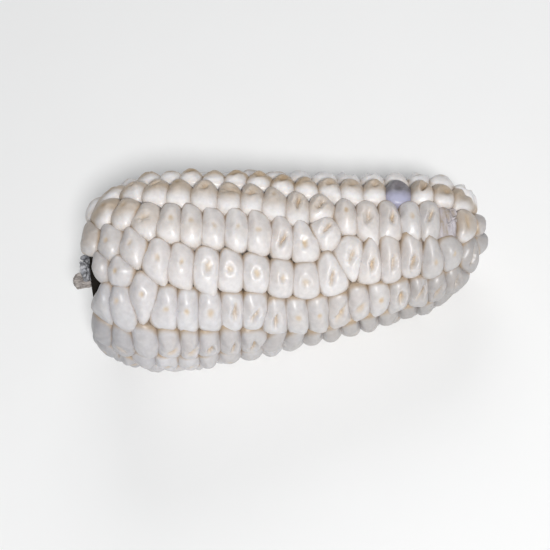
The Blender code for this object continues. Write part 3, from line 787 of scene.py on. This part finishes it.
huskScar = {  # scraps round the shank, most of them on the +Y side, and rings of torn husk below it
    "scraps": 110, "upper": 82, "ring": (2.4, 8.4), "x": (2.8, 5.0), "width": (1.6, 3.4), "length": (0.9, 2.0),
    "lean": 0.5, "rings": (3.6, 5.2, 6.8, 8.4), "ringAngles": (75, 240), "ringFill": 3.6, "ringLean": 1.1,
    "ringX": (4.6, 5.8), "ringWidth": (0.9, 2.2), "ringLength": (1.2, 2.6), "seed": 5,
}
chance = np.random.default_rng(huskScar["seed"])
scraps = []
for number in range(huskScar["scraps"]):
    turn = math.radians(chance.uniform(10, 170) if number < huskScar["upper"] else chance.uniform(0, 200))
    radius = chance.uniform(*huskScar["ring"]) if number < huskScar["upper"] else chance.uniform(2.5, 4.5)
    outward = Vector((0, math.sin(turn), math.cos(turn)))
    lean = Vector((-1, 0, 0)) + outward * (huskScar["lean"] * radius / huskScar["ring"][1])
    lean += Vector(chance.uniform(-0.6, 0.6, 3))
    place = Vector((chance.uniform(*huskScar["x"]), 0, 0)) + outward * radius
    scraps.append(flakePoint(place, lean, chance.uniform(*huskScar["width"]),
                             chance.uniform(*huskScar["length"]), chance))
for ring in huskScar["rings"]:
    for _ in range(round(ring * huskScar["ringFill"])):
        turn = math.radians(chance.uniform(*huskScar["ringAngles"]))
        outward = Vector((0, math.sin(turn), math.cos(turn)))
        lean = Vector((-1, 0, 0)) + outward * huskScar["ringLean"] + Vector(chance.uniform(-0.4, 0.4, 3))
        place = Vector((chance.uniform(*huskScar["ringX"]), 0, 0)) + outward * (ring + chance.uniform(-0.6, 0.6))
        scraps.append(flakePoint(place, lean, chance.uniform(*huskScar["ringWidth"]),
                                 chance.uniform(*huskScar["ringLength"]), chance))
huskShape = {"Segments": 16, "Rings": 14, "Thickness": 0.6, "Curl": 0.4, "Point": 0.2, "Ragged": 1.2}
leaves = flakeTree()
husk = {**huskShape, **lying, "Finish": huskGrey}
piece = runTree(leaves, pointMesh("huskScarPoints", scraps), "huskScar", husk)
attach(piece, "root")
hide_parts("husk_scar")

emptySocket = {"flakes": 7, "spread": 3.6, "depth": (4.9, 5.7), "width": (2.4, 4.2), "length": (2.0, 3.2),
               "seed": 11}
chance = np.random.default_rng(emptySocket["seed"])
middle, along, around, outward = frames[[place[:2] for place in places].index(emptyPlace)]
glumes = []
for _ in range(emptySocket["flakes"]):
    a, b = chance.uniform(-1, 1, 2) * emptySocket["spread"]
    lean = outward + (along * a + around * b) * 0.12 + Vector(chance.uniform(-0.25, 0.25, 3))
    place = middle + along * a * 0.7 + around * b - outward * chance.uniform(*emptySocket["depth"])
    glumes.append(flakePoint(place, lean, chance.uniform(*emptySocket["width"]),
                             chance.uniform(*emptySocket["length"]), chance))
glumeShape = {"Segments": 32, "Rings": 24, "Thickness": 0.14, "Curl": 0.9, "Point": 0.25, "Ragged": 1.2}
shrunkenPoints = pointMesh("collapsedKernelPoints", shrunken)
collapsed = runTree(rowTree, shrunkenPoints, "collapsedKernel", {**kernelShape, "Finish": glumeChaff})
chaff = {**glumeShape, **lying, "Finish": glumeChaff}
flakes = runTree(leaves, pointMesh("emptySocketPoints", glumes), "emptySocket", chaff)
for piece in (collapsed, flakes):
    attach(piece, "root")
    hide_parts("empty_socket")

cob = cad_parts["cob"]
cob.data.materials.clear()
cob.data.materials.append(cobTan)
print("stub, husk fibres and chaff made")

studio = {"floorSize": 3.0, "worldStrength": 0.14, "flash": 18.5, "flashSize": 0.3, "flashFar": 1.4,
          "flashBelow": 0.12, "flashRight": 0.12, "overhead": 2.0}


def earMatrix():
    rolled = Matrix.Rotation(math.radians(ear["roll"]), 4, "X")
    turned = Matrix.Rotation(math.radians(ear["pitch"]), 4, "Y") @ rolled
    return Matrix.Translation((-ear["middleX"] * millimetre, 0, ear["axisHeight"] * millimetre)) @ turned


def aimed(position, target):
    return Matrix.Translation(position) @ (position - target).to_track_quat("Z", "Y").to_matrix().to_4x4()


floorMesh = bpy.data.meshes.new("floor")
half = studio["floorSize"] / 2
corners = [(-half, -half, 0), (half, -half, 0), (half, half, 0), (-half, half, 0)]
floorMesh.from_pydata(corners, [], [(0, 1, 2, 3)])
floor = bpy.data.objects.new("floor", floorMesh)
bpy.context.scene.collection.objects.link(floor)
paper, paperTree, paperShader = newMaterial("paperFloor", Roughness=0.9)
grain = noise(paperTree, addNode(paperTree, "ShaderNodeTexCoord").outputs["Object"], 30.0, 3.0)[0]
paperColour = mixColour(paperTree, grain, (0.93, 0.93, 0.925, 1), (0.95, 0.95, 0.945, 1))
feed(paperTree, paperShader.inputs["Base Color"], paperColour)
floor.data.materials.append(paper)

scene = bpy.context.scene
scene.view_settings.view_transform = "Standard"
world = bpy.data.worlds.new("studioAir")
world.use_nodes = True
world.node_tree.nodes["Background"].inputs["Color"].default_value = (0.93, 0.96, 1.0, 1)
world.node_tree.nodes["Background"].inputs["Strength"].default_value = studio["worldStrength"]
scene.world = world

tilt = math.radians(5.74)
right, up = Vector((math.cos(tilt), -math.sin(tilt), 0)), Vector((math.sin(tilt), math.cos(tilt), 0))
look = Matrix((right, up, Vector((0, 0, 1)))).transposed().to_4x4()
cameraData = bpy.data.cameras.new("camera")
cameraData.lens = 85
cameraData.sensor_width = 36
cameraData.clip_start = 0.01
camera = bpy.data.objects.new("camera", cameraData)
scene.collection.objects.link(camera)
camera.matrix_world = earMatrix() @ Matrix.Translation((0.0611, -0.00425, 0.408)) @ look
scene.camera = camera


def addLight(name, power, size, matrix):
    data = bpy.data.lights.new(name, "AREA")
    data.energy = power
    data.shape = "DISK"
    data.size = size
    made = bpy.data.objects.new(name, data)
    scene.collection.objects.link(made)
    made.matrix_world = matrix


target = earMatrix() @ Vector((0.0611, -0.004, 0))
flashPlace = earMatrix() @ (Vector((0.0611, -0.00425, studio["flashFar"])) - up * studio["flashBelow"]
                             + right * studio["flashRight"])
addLight("flash", studio["flash"], studio["flashSize"], aimed(flashPlace, target))
addLight("overhead", studio["overhead"], 0.6, aimed(Vector((0.1, 0.7, 0.6)), target))

print("camera and light set")
